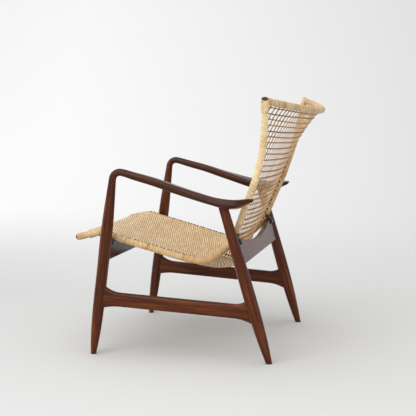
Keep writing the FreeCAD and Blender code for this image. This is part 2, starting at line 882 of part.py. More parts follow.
def cane_section(distance, middle):
    edge = cane_edge(distance)
    through = unit(middle - Vector(0, edge.y, edge.z)) * size("cane_thickness")
    inner = Part.Arc(edge, middle, mirrored(edge))
    outer = Part.Arc(mirrored(edge) + through, middle + through, edge + through)
    return Part.Wire(
        [
            inner.toShape(),
            Part.LineSegment(mirrored(edge), mirrored(edge) + through).toShape(),
            outer.toShape(),
            Part.LineSegment(edge + through, edge).toShape(),
        ]
    )


def cane_sections(shares):
    sections = []
    for place, sag, slide in shares:
        distance = place * pole_length
        middle = cane_middle(distance, sag * size("shell_sag"), slide * size("top_rail_sink"))
        sections.append(cane_section(distance, middle))
    return sections


top_section = cane_section(top_rail_along, top_rail_middle)
seat_panel = show_shape(
    "seat_cane_panel", Part.makeLoft(cane_sections(SEAT_SAG_SHARES), True, False)
)
back_panel = show_shape(
    "back_cane_panel", Part.makeLoft(cane_sections(BACK_SAG_SHARES) + [top_section], True, False)
)


# The seat's panel starts at the front bar: what lies ahead of the bar's arc is cleared
def seat_front_clearance():
    body = new_body("seat_front_clearance", Placement(Vector(0, 0, front_bar_end.z), Rotation()))
    end = Vector(front_bar_end.x, front_bar_end.y, 0)
    middle = Vector(0, front_bar_middle.y, 0)
    ahead = Vector(end.x, -size("shell_front_ahead"), 0)
    edges = [
        Part.Arc(end, middle, mirrored(end)),
        Part.LineSegment(mirrored(end), mirrored(ahead)),
        Part.LineSegment(mirrored(ahead), ahead),
        Part.LineSegment(ahead, end),
    ]
    pad = body.newObject("PartDesign::Pad", "seat_front_pad")
    pad.Profile = outline_sketch(body, "seat_front_outline", "XY_Plane", edges)
    pad.Midplane = True
    bind(pad, "Length", "shell_sag")
    return body


# The back's openings: straight-sided windows square to the panel
def back_sag(share):
    for before, after in zip(BACK_SAG_SHARES, BACK_SAG_SHARES[1:]):
        if share <= after[0]:
            part = (share - before[0]) / (after[0] - before[0])
            return [between(low, high, part) for low, high in zip(before[1:], after[1:])]
    return BACK_SAG_SHARES[-1][1:]


def panel_point(share, across):
    """Point of the back's face: share of the pole's length, and share of the arc across."""
    distance = share * pole_length
    sag, slide = back_sag(share)
    middle = cane_middle(distance, sag * size("shell_sag"), slide * size("top_rail_sink"))
    edge = cane_edge(distance)
    arc = Part.Arc(edge, middle, mirrored(edge)).toShape()
    first, last = arc.ParameterRange
    return arc.valueAt(between(first, last, across))


def window(low, high, start, stop):
    """Prism through the panel over one opening."""
    ring = [
        panel_point(low, start),
        panel_point(low, stop),
        panel_point(high, stop),
        panel_point(high, start),
    ]
    centre = (ring[0] + ring[1] + ring[2] + ring[3]) / len(ring)
    normal = unit((ring[2] - ring[0]).cross(ring[3] - ring[1]))
    reach = normal * size("window_reach")
    flat = [corner - normal * (corner - centre).dot(normal) - reach for corner in ring]
    return Part.Face(Part.makePolygon(flat + flat[:1])).extrude(reach * 2)


def back_windows():
    first, last, open_across, open_along, border = WINDOW_SHARES
    columns = round(size("window_columns"))
    rows = round(size("window_rows"))
    width = (1 - 2 * border) / columns
    height = (last - first) / rows
    prisms = []
    for row in range(rows):
        low = first + height * (row + (1 - open_along) / 2)
        for column in range(columns):
            start = border + width * (column + (1 - open_across) / 2)
            prisms.append(
                window(low, low + height * open_along, start, start + width * open_across)
            )
    return show_shape("back_window_prisms", Part.makeCompound(prisms))


# Rails: a straight lower edge, a hollow crest under the cane and a ledge at each leg
def rail_outline(kind, end):
    bottom = rail_bottom(kind)
    crest = crest_height(kind)
    ledge = ledge_height(kind)
    half = size("crest_half")
    return [
        Part.LineSegment(Vector(-end, bottom, 0), Vector(end, bottom, 0)),
        Part.LineSegment(Vector(end, bottom, 0), Vector(end, ledge, 0)),
        Part.LineSegment(Vector(end, ledge, 0), Vector(half, ledge, 0)),
        Part.Arc(Vector(half, ledge, 0), Vector(0, crest, 0), Vector(-half, ledge, 0)),
        Part.LineSegment(Vector(-half, ledge, 0), Vector(-end, ledge, 0)),
        Part.LineSegment(Vector(-end, ledge, 0), Vector(-end, bottom, 0)),
    ]


def bolt_place(kind):
    """Where a clip's bolt stands in its rail's frame: across the chair, and up the lean."""
    across = size("shell_seat_half") + size(f"{kind}_bolt_outside")
    return across, ledge_height(kind) - size(f"{kind}_bolt_fall")


def clip_solid(kind, frame):
    """Cradle under the wrapped pole, a foot on the rail's ledge and an ear down its rear face."""
    centre, direction = path_place(pole_path, crossing(frame))
    thickness = size("clip_thickness")
    band = cylinder_along(
        f"{kind}_clip_band",
        centre - direction * (size("clip_width") / 2),
        direction,
        size("clip_width"),
        size("wrap_radius") + thickness,
    )
    side = unit(direction.cross(frame.Rotation.multVec(Z_AXIS)))
    band.Placement = frame_at(band.Placement.Base, side, direction.cross(side), direction)
    band.Angle = 180
    ledge = ledge_height(kind)
    face = size("rail_thickness") / 2
    bolt_x, bolt_up = bolt_place(kind)
    ear_edge = bolt_x + size("clip_ear_half")
    foot = box_between(
        f"{kind}_clip_foot",
        frame,
        Vector(size("shell_seat_half"), -size("clip_width") / 2, ledge),
        Vector(ear_edge, face + thickness, ledge + thickness),
    )
    ear = box_between(
        f"{kind}_clip_ear",
        frame,
        Vector(bolt_x - size("clip_ear_half"), face, bolt_up - size("clip_drop")),
        Vector(ear_edge, face + thickness, ledge + thickness),
    )
    return fuse(f"{kind}_clip_solid", [band, foot, ear])


def bolt_parts(kind, frame):
    """Round-headed bolt through the clip's ear, and the hole that it runs in."""
    face = size("rail_thickness") / 2 + size("clip_thickness")
    bolt_x, bolt_up = bolt_place(kind)
    seat = frame.multVec(Vector(bolt_x, face, bolt_up))
    outward = frame.Rotation.multVec(Y_AXIS)
    head = cylinder_along(
        f"{kind}_bolt_disc", seat, outward, size("bolt_head_height"), size("bolt_head_radius")
    )
    doc.recompute()
    rim = [index for index, edge in enumerate(head.Shape.Edges, start=1) if edge.Closed]
    top = max(rim, key=lambda index: head.Shape.Edges[index - 1].CenterOfMass.dot(outward))
    dome = doc.addObject("Part::Fillet", f"{kind}_bolt_dome")
    dome.Base = head
    dome.Edges = [(top, size("bolt_head_round"), size("bolt_head_round"))]
    shank_start = seat - outward * size("bolt_length")
    shank = cylinder_along(
        f"{kind}_bolt_shank", shank_start, outward, size("bolt_length"), size("bolt_shank_radius")
    )
    clearance = size("bolt_clearance")
    hole = cylinder_along(
        f"{kind}_bolt_hole",
        shank_start - outward * clearance,
        outward,
        size("bolt_length") + clearance,
        size("bolt_shank_radius") + clearance,
    )
    return fuse(f"{kind}_bolt_left", [dome, shank]), hole


def pair(name, left):
    """A left piece and its mirror image as one group of two solids."""
    group = doc.addObject("Part::Compound", name)
    group.Links = [left, mirror_right(left, name + "_right")]
    return group


def build_rail(kind, frame, foot, axis, leg, clip):
    middle = (rail_bottom(kind) + ledge_height(kind)) / 2
    end = rail_end(foot, axis, middle) + size("tenon_past_axis") - size("tenon_end_gap")
    body = new_body(f"{kind}_rail_board", frame)
    profile = outline_sketch(body, f"{kind}_rail_profile", "XZ_Plane", rail_outline(kind, end))
    board(body, f"{kind}_rail", profile, "rail_thickness", "rail_edge_radius", "y", "X")
    bolt, hole = bolt_parts(kind, frame)
    clip_bored = cut(f"{kind}_clip_bored", clip, fuse(f"{kind}_clip_holes", [wrap_core, hole]))
    left_tools = fuse(f"{kind}_rail_tools", [leg, wrap_core, clip, hole])
    right_tools = mirror_right(left_tools, f"{kind}_rail_far_tools")
    tools = fuse(f"{kind}_rail_all_tools", [left_tools, right_tools])
    keep(cut(f"{kind}_rail_fitted", body, tools), f"{kind}_rail")
    keep(clip_bored, f"{kind}_clip_left")
    keep(mirror_right(clip_bored, f"{kind}_clip_mirrored"), f"{kind}_clip_right")
    keep(pair(f"{kind}_bolts", bolt), f"{kind}_clip_bolts")


front_clip = clip_solid("front", front_rail_frame)
rear_clip = clip_solid("rear", rear_rail_frame)
build_rail("front", front_rail_frame, front_foot, front_axis, front_leg_left, front_clip)
build_rail("rear", rear_rail_frame, rear_foot, rear_axis, rear_leg_left, rear_clip)

# The panels stop at the wrapped poles, their bindings, the clips and the cross poles
left_stops = fuse("cane_left_stops", [wrap_bar, *binding_bars, front_clip, rear_clip])
cane_stops = fuse(
    "cane_stops",
    [left_stops, mirror_right(left_stops, "cane_right_stops"), front_bar_solid, top_rail_solid],
)
seat_behind_bar = cut("seat_cane_front", seat_panel, seat_front_clearance())
keep(cut("seat_cane_trimmed", seat_behind_bar, cane_stops), "seat_cane")
back_trimmed = cut("back_cane_trimmed", back_panel, cane_stops)
keep(cut("back_cane_open", back_trimmed, back_windows()), "back_cane")

# Pieces of the right half, and the groups
keep(dowel, "corner_dowel_left")
keep(mirror_right(dowel, "corner_dowel_mirrored"), "corner_dowel_right")
keep(mirror_right(front_leg_left, "front_leg_mirrored"), "front_leg_right")
keep(mirror_right(rear_leg_left, "rear_leg_mirrored"), "rear_leg_right")
keep(mirror_right(armrest_left, "armrest_mirrored"), "armrest_right")
keep(mirror_right(side_stretcher_left, "stretcher_mirrored"), "side_stretcher_right")
keep(mirror_right(side_pole_left, "side_pole_mirrored"), "side_pole_right")
keep(mirror_right(side_wrap_left, "side_wrap_mirrored"), "side_pole_wrap_right")
binding_stops = fuse("binding_stops", [wrap_core, front_bar_solid, top_rail_solid])
bindings = doc.addObject("Part::Compound", "bindings")
bindings.Links = [
    cut(f"binding_sleeve_{index}", bar, binding_stops) for index, bar in enumerate(binding_bars)
]
keep(bindings, "pole_bindings_left")
keep(mirror_right(bindings, "bindings_mirrored"), "pole_bindings_right")

doc.recompute()
for feature in doc.Objects:
    if "Invalid" in feature.State or "Error" in feature.State:
        raise RuntimeError(f"{feature.Name} failed: {feature.State}")
os.makedirs("parts", exist_ok=True)
for feature in parts:
    shape = feature.Shape
    if shape.isNull() or not shape.isValid():
        raise RuntimeError(f"{feature.Label} has no valid shape")
    print(feature.Label, len(shape.Solids), round(shape.Volume))
    shape.exportStep(os.path.join("parts", feature.Label + ".step"))
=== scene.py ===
import math

import bmesh
import bpy
from mathutils import Matrix, Vector


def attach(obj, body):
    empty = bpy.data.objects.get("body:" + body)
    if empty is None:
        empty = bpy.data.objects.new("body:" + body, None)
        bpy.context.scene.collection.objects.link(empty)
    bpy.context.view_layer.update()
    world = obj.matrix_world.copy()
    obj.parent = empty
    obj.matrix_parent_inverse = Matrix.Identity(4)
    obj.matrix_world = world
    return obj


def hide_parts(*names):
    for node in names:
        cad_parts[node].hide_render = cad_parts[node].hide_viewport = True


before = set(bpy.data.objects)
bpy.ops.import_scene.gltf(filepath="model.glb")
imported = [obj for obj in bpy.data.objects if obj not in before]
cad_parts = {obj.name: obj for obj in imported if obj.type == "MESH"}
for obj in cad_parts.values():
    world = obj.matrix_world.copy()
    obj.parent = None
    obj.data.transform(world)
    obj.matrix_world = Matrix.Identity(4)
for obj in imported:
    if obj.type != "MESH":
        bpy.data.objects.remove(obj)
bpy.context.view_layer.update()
scene = bpy.context.scene
scene.view_settings.view_transform = "Standard"

# Metres. +X is the sitter's left, -Y the front, +Z up, the floor at Z = 0.
# Corners of the left side pole's line, from the front horn to the top of the back
POLE_CORNERS = (
    (0.2626, -0.3730, 0.3660),
    (0.2626, -0.2990, 0.3837),
    (0.2612, -0.2520, 0.3697),
    (0.2570, -0.1100, 0.3333),
    (0.2528, -0.0120, 0.3071),
    (0.2500, 0.0490, 0.3020),
    (0.2500, 0.0880, 0.3300),
    (0.2500, 0.1180, 0.3540),
    (0.2528, 0.1450, 0.4030),
    (0.2700, 0.1720, 0.4725),
    (0.2780, 0.2000, 0.5410),
    (0.2870, 0.2210, 0.6050),
    (0.3102, 0.2365, 0.6650),
    (0.3500, 0.2480, 0.7390),
    (0.3900, 0.2550, 0.8040),
)
# Each corner is rounded over this share of its shorter run, in steps of this length
CORNER_SHARE = 0.45
CORNER_STEP = 0.0005
# Top rail and front bar: place along the side pole, bow of the middle, and how low it lies
TOP_RAIL_BACK = 0.007
TOP_RAIL_BOW = 0.108
TOP_RAIL_SINK = 0.031
FRONT_BAR_ALONG = 0.038
FRONT_BAR_BOW = 0.003
FRONT_BAR_SINK = 0.005
BAR_STOPS = 240
# Woven shell: its edge lies inside the wrap and a little towards the sitter
CANE_UNDER_WRAP = 0.006
CANE_EDGE_RISE = 0.007
SHELL_STEPS = 600
FLATTEST_ARC = 1e-5
# Woven shell: share of the pole's length, drop of its middle, and slide down the pole
SHELL_SAGS = (
    (0.030, 0.0041, 0.0),
    (0.060, 0.0061, 0.0),
    (0.092, 0.0102, 0.0),
    (0.125, 0.0177, 0.0),
    (0.200, 0.0313, 0.0),
    (0.270, 0.0408, 0.0),
    (0.340, 0.0483, 0.0),
    (0.385, 0.0530, 0.0),
    (0.425, 0.0592, 0.0),
    (0.447, 0.0680, 0.0),
    (0.463, 0.0585, 0.0),
    (0.478, 0.0408, 0.0),
    (0.495, 0.0231, 0.0),
    (0.515, 0.0150, 0.0),
    (0.545, 0.0129, 0.0),
    (0.575, 0.0122, 0.0),
    (0.610, 0.0129, 0.0),
    (0.650, 0.0136, 0.0),
    (0.700, 0.0156, 0.0),
    (0.760, 0.0218, 0.0),
    (0.820, 0.0340, 0.0016),
    (0.860, 0.0462, 0.0037),
    (0.900, 0.0612, 0.0078),
    (0.935, 0.0768, 0.0118),
    (0.965, 0.0925, 0.0155),
)


# Lines of the poles and bars
def rounded_line(corners):
    """Straight runs joined by tangent arcs."""
    points = [Vector(corner) for corner in corners]
    line = [points[0]]
    for before, here, after in zip(points, points[1:], points[2:]):
        back = (before - here).normalized()
        ahead = (after - here).normalized()
        reach = CORNER_SHARE * min((before - here).length, (after - here).length)
        half_turn = (math.pi - back.angle(ahead)) / 2
        radius = reach / math.tan(half_turn)
        bisector = (back + ahead).normalized()
        centre = here + bisector * (radius / math.cos(half_turn))
        first = here + back * reach
        last = here + ahead * reach
        axis = (first - centre).cross(last - centre).normalized()
        stops = max(4, int(2 * half_turn * radius / CORNER_STEP))
        for index in range(stops + 1):
            turn = Matrix.Rotation(2 * half_turn * index / stops, 3, axis)
            line.append(centre + turn @ (first - centre))
    line.append(points[-1])
    return line


class Line:
    """A centre line that gives its point and direction at a distance along it."""

    def __init__(self, points, upright):
        self.points = points
        self.upright = Vector(upright)
        self.distances = [0.0]
        for before, here in zip(points, points[1:]):
            self.distances.append(self.distances[-1] + (here - before).length)
        self.length = self.distances[-1]
        self.last_index = 0

    def at(self, distance):
        """Point and direction. The search starts from the run that was found last."""
        distance = min(max(distance, 0.0), self.length)
        index = self.last_index
        while index > 0 and self.distances[index] > distance:
            index -= 1
        while index < len(self.points) - 2 and self.distances[index + 1] < distance:
            index += 1
        self.last_index = index
        span = self.distances[index + 1] - self.distances[index]
        share = (distance - self.distances[index]) / span if span else 0.0
        low = max(index - 1, 0)
        high = min(index + 2, len(self.points) - 1)
        point = self.points[index].lerp(self.points[index + 1], share)
        return point, (self.points[high] - self.points[low]).normalized()

    def ring(self, distance, radius, angle):
        """Point at a radius round the line, its angle counted from the upright way."""
        point, direction = self.at(distance)
        side = (self.upright - direction * self.upright.dot(direction)).normalized()
        over = direction.cross(side)
        return point + (side * math.cos(angle) + over * math.sin(angle)) * radius


def mirrored(point):
    return Vector((-point.x, point.y, point.z))


def arc_line(end, middle, upright):
    """Arc from one end through its middle to the mirrored end."""
    base = Vector((0, end.y, end.z))
    rise = (middle - base).length
    down = (middle - base).normalized()
    radius = (end.x**2 + rise**2) / (2 * rise)
    half = math.asin(end.x / radius)
    centre = middle - down * radius
    points = []
    for index in range(BAR_STOPS + 1):
        angle = half * (1 - 2 * index / BAR_STOPS)
        out = Vector((radius * math.sin(angle), 0, 0))
        points.append(centre + out + down * (radius * math.cos(angle)))
    return Line(points, upright)


left_points = rounded_line(POLE_CORNERS)
left_pole = Line(left_points, (1, 0, 0))
right_pole = Line([mirrored(point) for point in left_points], (-1, 0, 0))
POLE_LENGTH = left_pole.length
# Each side's name, pole, and the sense in which an angle turns over the pole's upper face
SIDES = (("left", left_pole, -1), ("right", right_pole, 1))

rail_end = left_pole.at(POLE_LENGTH - TOP_RAIL_BACK)[0]
rail_middle = Vector((0, rail_end.y + TOP_RAIL_BOW, rail_end.z - TOP_RAIL_SINK))
top_rail = arc_line(rail_end, rail_middle, (0, 0, 1))
bar_end = left_pole.at(FRONT_BAR_ALONG)[0]
bar_middle = Vector((0, bar_end.y - FRONT_BAR_BOW, bar_end.z - FRONT_BAR_SINK))
front_bar = arc_line(bar_end, bar_middle, (0, 0, 1))


# Surface of the woven shell: sagging arcs between the side poles
def away_from_sitter(direction):
    return Vector((0, direction.z, -direction.y)).normalized()


def shell_stations():
    """Share of the pole's length, and the way from the pole's height to the middle."""
    stations = []
    for share, sag, slide in SHELL_SAGS:
        direction = left_pole.at(share * POLE_LENGTH)[1]
        along = Vector((0, direction.y, direction.z)).normalized()
        stations.append((share, away_from_sitter(direction) * sag - along * slide))
    last = 1 - TOP_RAIL_BACK / POLE_LENGTH
    stations.append((last, rail_middle - Vector((0, rail_end.y, rail_end.z))))
    return stations


def smooth_between(stations, share):
    """Smooth curve through the stations' offsets."""
    share = min(max(share, stations[0][0]), stations[-1][0])
    index = 0
    while index < len(stations) - 2 and stations[index + 1][0] < share:
        index += 1

    def slope(at):
        low = max(at - 1, 0)
        high = min(at + 1, len(stations) - 1)
        return (stations[high][1] - stations[low][1]) / (stations[high][0] - stations[low][0])

    start, first = stations[index]
    stop, second = stations[index + 1]
    span = stop - start
    t = (share - start) / span
    return (
        first * (2 * t**3 - 3 * t**2 + 1)
        + slope(index) * (span * (t**3 - 2 * t**2 + t))
        + second * (3 * t**2 - 2 * t**3)
        + slope(index + 1) * (span * (t**3 - t**2))
    )


def shell_table():
    """Edge point and way to the middle, at even steps along the side pole."""
    stations = shell_stations()
    rows = []
    for step in range(SHELL_STEPS + 1):
        share = step / SHELL_STEPS
        point, direction = left_pole.at(share * POLE_LENGTH)
        edge = point - away_from_sitter(direction) * CANE_EDGE_RISE
        edge.x -= CANE_UNDER_WRAP
        middle = Vector((0, point.y, point.z)) + smooth_between(stations, share)
        rows.append((edge, middle - Vector((0, edge.y, edge.z))))
    return rows


shell_rows = shell_table()


def shell_arc(share):
    """Edge point, way to the middle, depth, radius and half turn of one arc of the shell."""
    place = min(max(share, 0.0), 1.0) * SHELL_STEPS
    index = min(int(place), SHELL_STEPS - 1)
    part = place - index
    point = shell_rows[index][0].lerp(shell_rows[index + 1][0], part)
    drop = shell_rows[index][1].lerp(shell_rows[index + 1][1], part)
    rise = max(drop.length, FLATTEST_ARC)
    radius = (point.x**2 + rise**2) / (2 * rise)
    return point, drop.normalized(), rise, radius, math.asin(min(point.x / radius, 1.0))


def half_width(share):
    return shell_arc(share)[0].x


def shell_point(share, across):
    """Point of the shell's face: share of the pole's length, and -1 to 1 across."""
    point, down, rise, radius, bend = shell_arc(share)
    turn = across * bend
    out = radius * math.sin(turn)
    low = rise - radius * (1 - math.cos(turn))
    return Vector((out, point.y, point.z)) + down * low


def shell_face(share, across, side_step=0.004, along_step=0.003):
    """Point, directions across and up the shell, and the normal towards the sitter."""
    point = shell_point(share, across)
    side = shell_point(share, across + side_step) - shell_point(share, across - side_step)
    along = shell_point(share + along_step, across) - shell_point(share - along_step, across)
    side.normalize()
    along.normalize()
    return point, side, along, side.cross(along).normalized()


def across_at(share, x):
    """Place across the shell of a distance from its middle plane."""
    radius, bend = shell_arc(share)[3:]
    return math.asin(max(-1.0, min(1.0, x / radius))) / bend


# Mesh helpers. Points nearer than a seam's width are merged: round a strip, and on the seat
STRIP_SEAM = 1e-7
SEAT_SEAM = 2e-5


def new_object(name, bm, finish):
    mesh = bpy.data.meshes.new(name)
    bm.to_mesh(mesh)
    bm.free()
    for face in mesh.polygons:
        face.use_smooth = True
    made = bpy.data.objects.new(name, mesh)
    scene.collection.objects.link(made)
    made.data.materials.append(finish)
    return made


def new_piece(name, bm, finish, node):
    """A piece on the one body. It stands for a CAD node where one is given."""
    bmesh.ops.recalc_face_normals(bm, faces=bm.faces)
    piece = new_object(name, bm, finish)
    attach(piece, "root")
    if node:
        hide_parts(node)
    return piece


def new_mesh():
    bm = bmesh.new()
    bm.loops.layers.uv.new("weave")
    return bm


def bent_grid(bm, around, along, place, mapped):
    """Grid bent to a shape: place(u, v) gives each corner, mapped(u, v) its pattern."""
    made = bmesh.ops.create_grid(bm, x_segments=around, y_segments=along, size=0.5, calc_uvs=True)
    weave = bm.loops.layers.uv.active
    faces = {face for vert in made["verts"] for face in vert.link_faces}
    for face in faces:
        for loop in face.loops:
            loop[weave].uv = mapped(*loop[weave].uv)
    for vert in made["verts"]:
        vert.co = place(vert.co.x + 0.5, vert.co.y + 0.5)
    return made["verts"]


def closed_grid(bm, around, along, place, mapped):
    """Bent grid whose two long sides meet in a seam and whose ends are closed."""
    verts = bent_grid(bm, around, along, place, mapped)
    edges = {edge for vert in verts for edge in vert.link_edges}
    seam = {vert for edge in edges if edge.is_boundary for vert in edge.verts}
    bmesh.ops.remove_doubles(bm, verts=list(seam), dist=STRIP_SEAM)
    rim = [edge for edge in bm.edges if edge.is_boundary]
    bmesh.ops.holes_fill(bm, edges=rim)


def winding(bm, line, stretch, core, around=24, rings=6):
    """Flat cane wound round a pole: every turn is crowned and dips at its joints."""
    start, end, radius, pitch, dip = stretch
    turns = max(1.0, (end - start) / pitch)
    along = int(turns * rings) + 2

    def place(u, v):
        phase = (v * turns - u) % 1.0
        crown = 1 - (2 * phase - 1) ** 4
        at_end = v < 0.5 / along or v > 1 - 0.5 / along
        reach = core if at_end else radius - dip * (1 - crown)
        return line.ring(start + v * (end - start), reach, 2 * math.pi * u)

    closed_grid(bm, around, along, place, lambda u, v: (u, v * turns))


def dark_oval(bm, point, along, out, size):
    """Small dark oval of painted shade that lies on a face: its size is length, width and height."""
    length, width, height = size
    side = out.cross(along).normalized()
    turned = Matrix((side, along.normalized(), side.cross(along).normalized())).transposed().to_4x4()
    stretched = Matrix.Diagonal((width / 2, length / 2, height, 1.0))
    place = Matrix.Translation(point) @ turned @ stretched
    bmesh.ops.create_icosphere(bm, subdivisions=1, radius=1.0, matrix=place)


def lashing_gaps(bm, line, turn, row):
    """Dark ovals of painted shade in the gaps where the lashing dives between the weave and the pole.
    """
    start, end, degrees, radius, spacing, size = row
    angle = turn * math.radians(degrees)
    for number in range(int((end - start) / spacing)):
        unevenness = GAP_UNEVENNESS * math.sin(GAP_SHIFT * number)
        distance = start + (number + 0.5 + unevenness) * spacing
        point, direction = line.at(distance)
        out = (line.ring(distance, 1.0, angle) - point).normalized()
        dark_oval(bm, line.ring(distance, radius, angle), direction, out, size)


# Material helpers
def shade(red, green, blue):
    """Colour as it shows on a screen, from 0 to 255, in the shader's linear values."""

    def linear(value):
        value /= 255
        return value / 12.92 if value <= 0.04045 else ((value + 0.055) / 1.055) ** 2.4

    return (linear(red), linear(green), linear(blue), 1.0)


class Finish:
    """A node material. Its methods add a node and give back the socket to read from."""

    def __init__(self, name, roughness, specular):
        self.material = bpy.data.materials.new(name)
        self.material.use_nodes = True
        self.tree = self.material.node_tree
        self.shader = self.tree.nodes["Principled BSDF"]
        self.feed_shader("Roughness", roughness)
        self.feed_shader("Specular IOR Level", specular)

    def feed(self, socket, value):
        """An input takes another node's output, or else a plain value."""
        if isinstance(value, bpy.types.NodeSocket):
            self.tree.links.new(value, socket)
        else:
            socket.default_value = value

    def feed_shader(self, name, value):
        self.feed(self.shader.inputs[name], value)

    def add(self, kind, sockets=None, **settings):
        made = self.tree.nodes.new(kind)
        for name, value in settings.items():
            setattr(made, name, value)
        for name, value in (sockets or {}).items():
            self.feed(made.inputs[name], value)
        return made

    def object_place(self):
        return self.add("ShaderNodeTexCoord").outputs["Object"]

    def split(self, vector):
        """The three parts of a vector."""
        made = self.add("ShaderNodeSeparateXYZ", {"Vector": vector})
        return [made.outputs[axis] for axis in "XYZ"]

    def weave_map(self):
        """The two counts in the pieces' own map."""
        return self.split(self.add("ShaderNodeUVMap", uv_map="weave").outputs["UV"])[:2]

    def plane_place(self, x, y):
        return self.add("ShaderNodeCombineXYZ", {"X": x, "Y": y}).outputs["Vector"]

    def noise(self, place, scale, detail=2.0, roughness=0.5):
        sockets = {"Vector": place, "Scale": scale, "Detail": detail, "Roughness": roughness}
        return self.add("ShaderNodeTexNoise", sockets).outputs["Fac"]

    def chance(self, number):
        """A random value for each whole number."""
        made = self.add("ShaderNodeTexWhiteNoise", {"W": number}, noise_dimensions="1D")
        return made.outputs["Value"]

    def chance_in_plane(self, place):
        """A random value for each pair of whole numbers."""
        made = self.add("ShaderNodeTexWhiteNoise", {"Vector": place}, noise_dimensions="2D")
        return made.outputs["Value"]

    def compute(self, operation, *values):
        """One step of arithmetic on values or sockets."""
        return self.add("ShaderNodeMath", dict(enumerate(values)), operation=operation).outputs[0]

    def times(self, first, second):
        return self.compute("MULTIPLY", first, second)

    def mixed(self, part, first, second):
        """A part of the first value and the rest of the second."""
        return self.compute("ADD", self.times(first, part), self.times(second, 1 - part))

    def hump(self, part):
        """Rises from 0 to 1 and falls back as the part goes from 0 to 1."""
        return self.times(self.times(part, self.compute("SUBTRACT", 1.0, part)), 4.0)

    def map_range(self, value, low, high, bottom=0.0, top=1.0):
        """The range from low to high is stretched to the range from bottom to top."""
        sockets = {"Value": value, "From Min": low, "From Max": high, "To Min": bottom, "To Max": top}
        return self.add("ShaderNodeMapRange", sockets).outputs["Result"]

    def blend(self, factor, first, second, kind="MIX"):
        """Colours blended: inputs 0, 6 and 7 and output 2 are the node's colour sockets."""
        made = self.add("ShaderNodeMix", data_type="RGBA", blend_type=kind)
        for socket, value in ((0, factor), (6, first), (7, second)):
            self.feed(made.inputs[socket], value)
        return made.outputs[2]

    def multiply(self, factor, first, second):
        return self.blend(factor, first, second, "MULTIPLY")

    def ramp(self, factor, *stops):
        made = self.add("ShaderNodeValToRGB", {"Fac": factor})
        points = made.color_ramp.elements
        while len(points) < len(stops):
            points.new(0.5)
        for point, (place, colour) in zip(points, stops):
            point.position = place
            point.color = colour if isinstance(colour, tuple) else (colour, colour, colour, 1.0)
        return made.outputs["Color"]

    def paint(self, colour):
        self.feed_shader("Base Color", colour)

    def bump(self, height, distance, strength):
        sockets = {"Height": height, "Strength": strength, "Distance": distance}
        self.feed_shader("Normal", self.add("ShaderNodeBump", sockets).outputs["Normal"])


# Finishes. The length, width and depth of the wood's figure, in metres
GRAIN_SIZE = (0.22, 0.011, 0.011)
# The twill's floats pass over two lengthwise strips out of three
TWILL_REPEAT = 3.0
TWILL_OVER = 2.0
# A strand's map is a whole number plus 0.1 to 0.9 round it, from the side away from the sitter
STRAND_MARGIN = 0.1
STRAND_AWAY = 0.32


def oiled_wood(name, direction, shade_factor):
    """Dark red-brown hardwood, oiled and polished, with its grain along a direction, darkened by a
    factor of painted shade.
    """
    wood = Finish(name, roughness=0.3, specular=0.2)
    place = wood.object_place()
    turn = Vector((1, 0, 0)).rotation_difference(Vector(direction).normalized()).to_euler()
    stretch = {"Vector": place, "Rotation": tuple(turn), "Scale": GRAIN_SIZE}
    grain = wood.add("ShaderNodeMapping", stretch, vector_type="TEXTURE").outputs["Vector"]
    figure = wood.noise(grain, 1.0, detail=6.0, roughness=0.62)
    pores = wood.noise(grain, 7.0, detail=3.0, roughness=0.6)
    patches = wood.noise(place, 5.0)
    tone = wood.ramp(
        figure, (0.32, shade(46, 20, 7)), (0.5, shade(84, 38, 13)), (0.70, shade(132, 68, 27))
    )
    # Painted shade: the shade factor darkens whole copies of the same wood (1 leaves it as it is)
    shaded_tone = wood.multiply(1.0, wood.blend(0.25, tone, shade(70, 30, 10)), shade_factor)
    dark_pores = wood.ramp(pores, (0.34, 0.55), (0.46, 1.0))
    wood.paint(wood.multiply(0.6, shaded_tone, dark_pores))
    wood.feed_shader("Roughness", wood.map_range(patches, 0.0, 1.0, bottom=0.16, top=0.28))
    wood.bump(pores, distance=0.00015, strength=0.5)
    return wood.material


def cane_winding(name, pale, deep, joint):
    """Wound cane: the map's U runs round the pole and V counts the turns."""
    cane = Finish(name, roughness=0.42, specular=0.4)
    around, turns = cane.weave_map()
    place = cane.object_place()
    turn = cane.compute("SUBTRACT", turns, around)
    lift = cane.hump(cane.compute("FRACT", turn))
    tint = cane.chance(cane.compute("FLOOR", turn))
    soft = cane.noise(place, 38.0, detail=3.0)
    along_fibre = cane.plane_place(cane.times(around, 3.0), cane.times(turn, 9.0))
    fibre = cane.noise(along_fibre, 2.2, detail=3.0)
    tone = cane.ramp(cane.mixed(0.28, tint, soft), (0.28, deep), (0.62, pale))
    streaked = cane.multiply(0.8, tone, cane.ramp(fibre, (0.3, 0.74), (0.6, 1.0)))
    x, y, z = cane.split(place)
    # Painted shade: lower down and towards the right pole (-X) a darker colour is multiplied in,
    # standing for less light there; higher up and on the left it keeps its paler lit tone
    painted_light_share = cane.map_range(cane.compute("ADD", z, cane.times(x, 0.45)), 0.46, 0.70)
    painted_shade_tone = cane.multiply(1.0, streaked, shade(214, 199, 182))
    gap = cane.ramp(lift, (0.02, 0.0), (0.30, 1.0))
    cane.paint(cane.blend(gap, joint, cane.blend(painted_light_share, painted_shade_tone, streaked)))
    cane.bump(lift, distance=0.0006, strength=0.6)
    return cane.material


